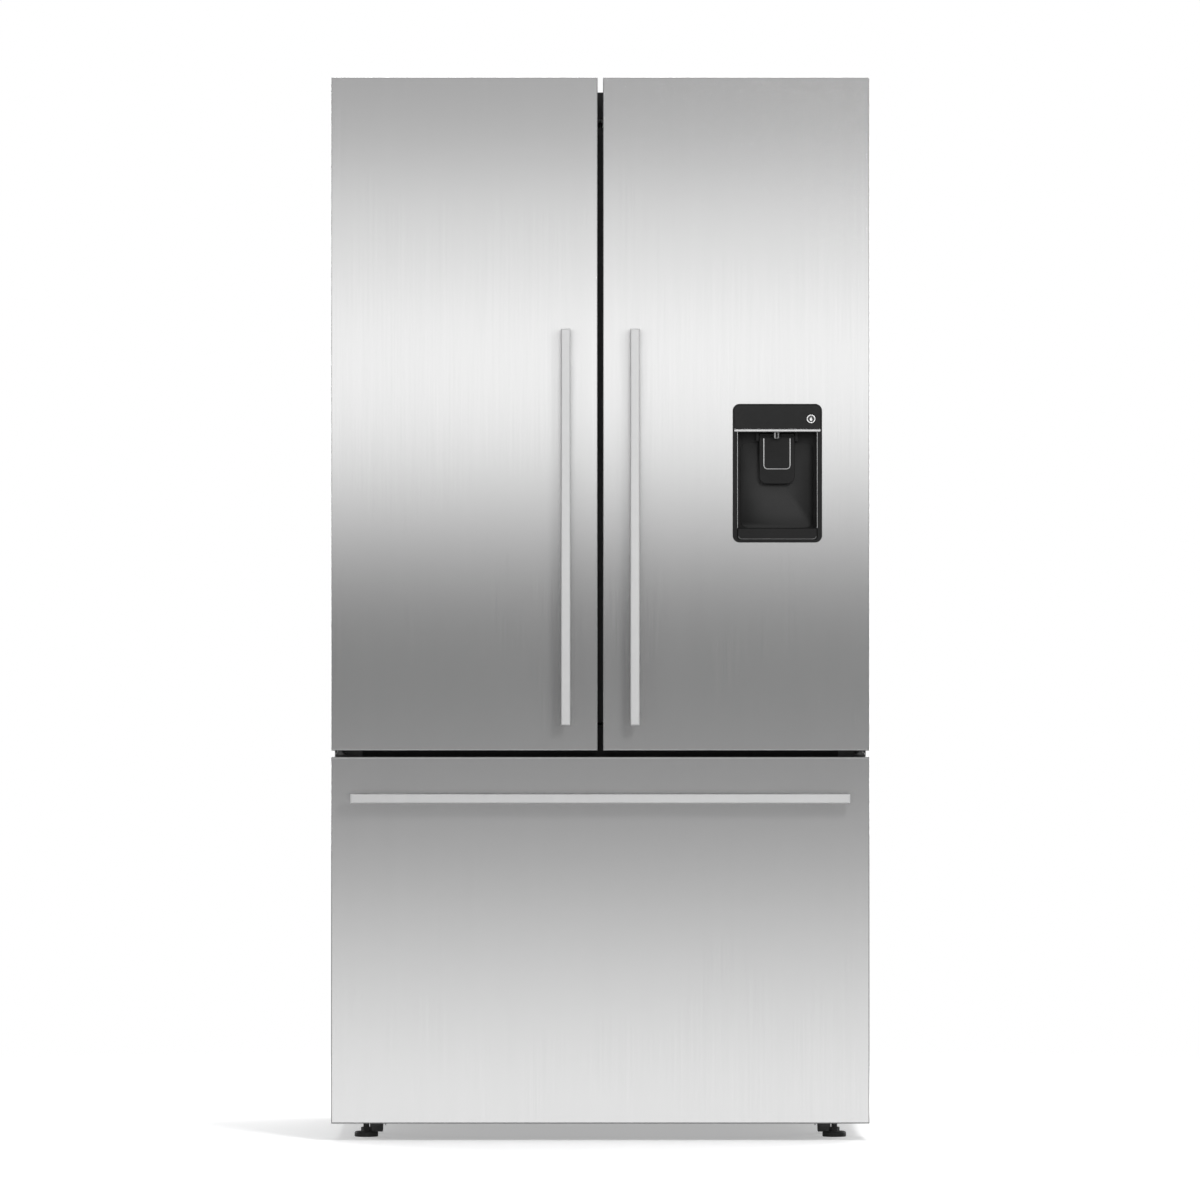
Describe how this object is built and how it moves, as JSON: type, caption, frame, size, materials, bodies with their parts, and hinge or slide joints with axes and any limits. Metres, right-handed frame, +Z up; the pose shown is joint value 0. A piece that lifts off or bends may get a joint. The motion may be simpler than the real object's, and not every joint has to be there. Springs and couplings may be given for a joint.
{
  "type": "french door refrigerator",
  "caption": "Freestanding french door refrigerator with a folding mullion between its doors, a water dispenser in the right door, and a pull-out freezer drawer below.",
  "frame": {"origin": "on the floor, under the middle of the whole appliance's box, handles included", "axes": "+Z up; the doors face -Y; +X is the right side for someone facing the doors"},
  "size_m": [0.9, 0.741, 1.78],
  "materials": {
    "cabinet_paint": "satin",
    "zinc_steel": "satin",
    "white_steel": "satin",
    "hinge_steel": "satin",
    "liner_white": "satin",
    "trim_white": "satin",
    "foam": "matte",
    "shelf_glass": "gloss",
    "lamp_lens": "satin",
    "compressor_paint": "satin",
    "coil_aluminium": "satin",
    "motor_plastic": "matte",
    "fitting_plastic": "matte",
    "cap_plastic": "matte",
    "clear_plastic": "gloss",
    "freezer_plastic": "satin",
    "door_steel": "satin",
    "handle_steel": "satin",
    "gasket": "matte",
    "mullion_plastic": "satin",
    "dispenser_black": "satin",
    "dispenser_gloss": "gloss",
    "dispenser_chrome": "polished",
    "button_ring": "gloss",
    "fan_plastic": "matte",
    "foot_plastic": "matte",
    "roller_plastic": "matte"
  },
  "bodies": {
    "cabinet": {"cabinet_shell": "cabinet_paint", "rear_panels": "zinc_steel", "base_pan": "zinc_steel", "front_frame": "cabinet_paint", "fridge_liner": "liner_white", "freezer_liner": "liner_white", "cabinet_foam": "foam", "duct_panels": "liner_white", "shelf_supports": "white_steel", "shelf_glass": "shelf_glass", "shelf_trim": "trim_white", "fridge_lamp": "lamp_lens", "compressor": "compressor_paint", "cooling_coils": "coil_aluminium", "fan_motors": "motor_plastic", "rear_fittings": "fitting_plastic", "roller_brackets": "zinc_steel", "door_hinges": "hinge_steel", "hinge_covers": "cap_plastic", "runner_outer": "zinc_steel"},
    "left_door": {"left_door_skin": "door_steel", "left_door_caps": "cap_plastic", "left_door_foam": "foam", "left_door_liner": "liner_white", "left_door_gasket": "gasket", "left_door_handle": "handle_steel", "left_door_bins": "clear_plastic", "flipper_hinges": "hinge_steel"},
    "right_door": {"right_door_skin": "door_steel", "right_door_caps": "cap_plastic", "right_door_foam": "foam", "right_door_liner": "liner_white", "right_door_gasket": "gasket", "right_door_handle": "handle_steel", "right_door_bins": "clear_plastic", "dispenser_housing": "dispenser_black", "dispenser_fascia": "dispenser_gloss", "dispenser_trim": "dispenser_chrome"},
    "flipper": {"flipper_mullion": "mullion_plastic"},
    "drawer": {"drawer_skin": "door_steel", "drawer_foam": "foam", "drawer_liner": "liner_white", "drawer_gasket": "gasket", "drawer_handle": "handle_steel", "drawer_arms": "zinc_steel", "freezer_bin": "freezer_plastic"},
    "freezer_tray": {"freezer_tray": "freezer_plastic"},
    "runner_middle": {"runner_middle": "zinc_steel"},
    "crisper_left": {"crisper_left": "clear_plastic"},
    "crisper_right": {"crisper_right": "clear_plastic"},
    "dairy_lid": {"dairy_lid": "clear_plastic"},
    "paddle": {"dispenser_paddle": "dispenser_black"},
    "drip_tray": {"drip_tray": "dispenser_black"},
    "lock_button": {"lock_button": "button_ring"},
    "condenser_fan": {"condenser_fan": "fan_plastic"},
    "evaporator_fan": {"evaporator_fan": "fan_plastic"},
    "foot_left": {"foot_left": "foot_plastic"},
    "foot_right": {"foot_right": "foot_plastic"},
    "front_rollers": {"front_rollers": "roller_plastic"},
    "rear_rollers": {"rear_rollers": "roller_plastic"}
  },
  "joints": [
    {"name": "left_door_hinge", "type": "hinge", "parent": "cabinet", "child": "left_door", "pos_m": [-0.435, -0.3045, 0.7], "axis": [0, 0, -1], "range_deg": [0, 110]},
    {"name": "right_door_hinge", "type": "hinge", "parent": "cabinet", "child": "right_door", "pos_m": [0.435, -0.3045, 0.7], "axis": [0, 0, 1], "range_deg": [0, 110]},
    {"name": "flipper_fold", "type": "hinge", "parent": "left_door", "child": "flipper", "pos_m": [-0.034, -0.2305, 1.2], "axis": [0, 0, 1], "range_deg": [0, 85]},
    {"name": "freezer_drawer_slide", "type": "slide", "parent": "cabinet", "child": "drawer", "axis": [0, -1, 0], "range_m": [0, 0.4]},
    {"name": "runner_middle_slide", "type": "slide", "parent": "cabinet", "child": "runner_middle", "axis": [0, -1, 0], "range_m": [0, 0.2]},
    {"name": "freezer_tray_slide", "type": "slide", "parent": "drawer", "child": "freezer_tray", "axis": [0, 1, 0], "range_m": [0, 0.16]},
    {"name": "crisper_left_slide", "type": "slide", "parent": "cabinet", "child": "crisper_left", "axis": [0, -1, 0], "range_m": [0, 0.04]},
    {"name": "crisper_right_slide", "type": "slide", "parent": "cabinet", "child": "crisper_right", "axis": [0, -1, 0], "range_m": [0, 0.04]},
    {"name": "dairy_lid_hinge", "type": "hinge", "parent": "right_door", "child": "dairy_lid", "pos_m": [0.219, -0.246, 1.57], "axis": [1, 0, 0], "range_deg": [0, 85]},
    {"name": "paddle_hinge", "type": "hinge", "parent": "right_door", "child": "paddle", "pos_m": [0.296, -0.2925, 1.17905], "axis": [1, 0, 0], "range_deg": [0, 7], "stiffness_Nm_per_rad": 0.5},
    {"name": "lock_button_press", "type": "slide", "parent": "right_door", "child": "lock_button", "axis": [0, 1, 0], "range_m": [0, 0.0008], "stiffness_N_per_m": 300},
    {"name": "drip_tray_slide", "type": "slide", "parent": "right_door", "child": "drip_tray", "axis": [0, -1, 0], "range_m": [0, 0.035]},
    {"name": "condenser_fan_spin", "type": "hinge", "parent": "cabinet", "child": "condenser_fan", "pos_m": [0.232, 0.2855, 0.162], "axis": [1, 0, 0], "continuous": true},
    {"name": "evaporator_fan_spin", "type": "hinge", "parent": "cabinet", "child": "evaporator_fan", "pos_m": [0, 0.263, 0.53525], "axis": [0, 1, 0], "continuous": true},
    {"name": "foot_left_turn", "type": "hinge", "parent": "cabinet", "child": "foot_left", "pos_m": [-0.395, -0.1845, 0.02], "axis": [0, 0, 1], "continuous": true},
    {"name": "foot_right_turn", "type": "hinge", "parent": "cabinet", "child": "foot_right", "pos_m": [0.395, -0.1845, 0.02], "axis": [0, 0, 1], "continuous": true},
    {"name": "front_rollers_roll", "type": "hinge", "parent": "cabinet", "child": "front_rollers", "pos_m": [0, -0.0945, 0.022], "axis": [1, 0, 0], "continuous": true},
    {"name": "rear_rollers_roll", "type": "hinge", "parent": "cabinet", "child": "rear_rollers", "pos_m": [0, 0.3105, 0.02], "axis": [1, 0, 0], "continuous": true}
  ],
  "couplings": [
    {"joint": "runner_middle_slide", "follows": "freezer_drawer_slide", "ratio": 0.5}
  ]
}
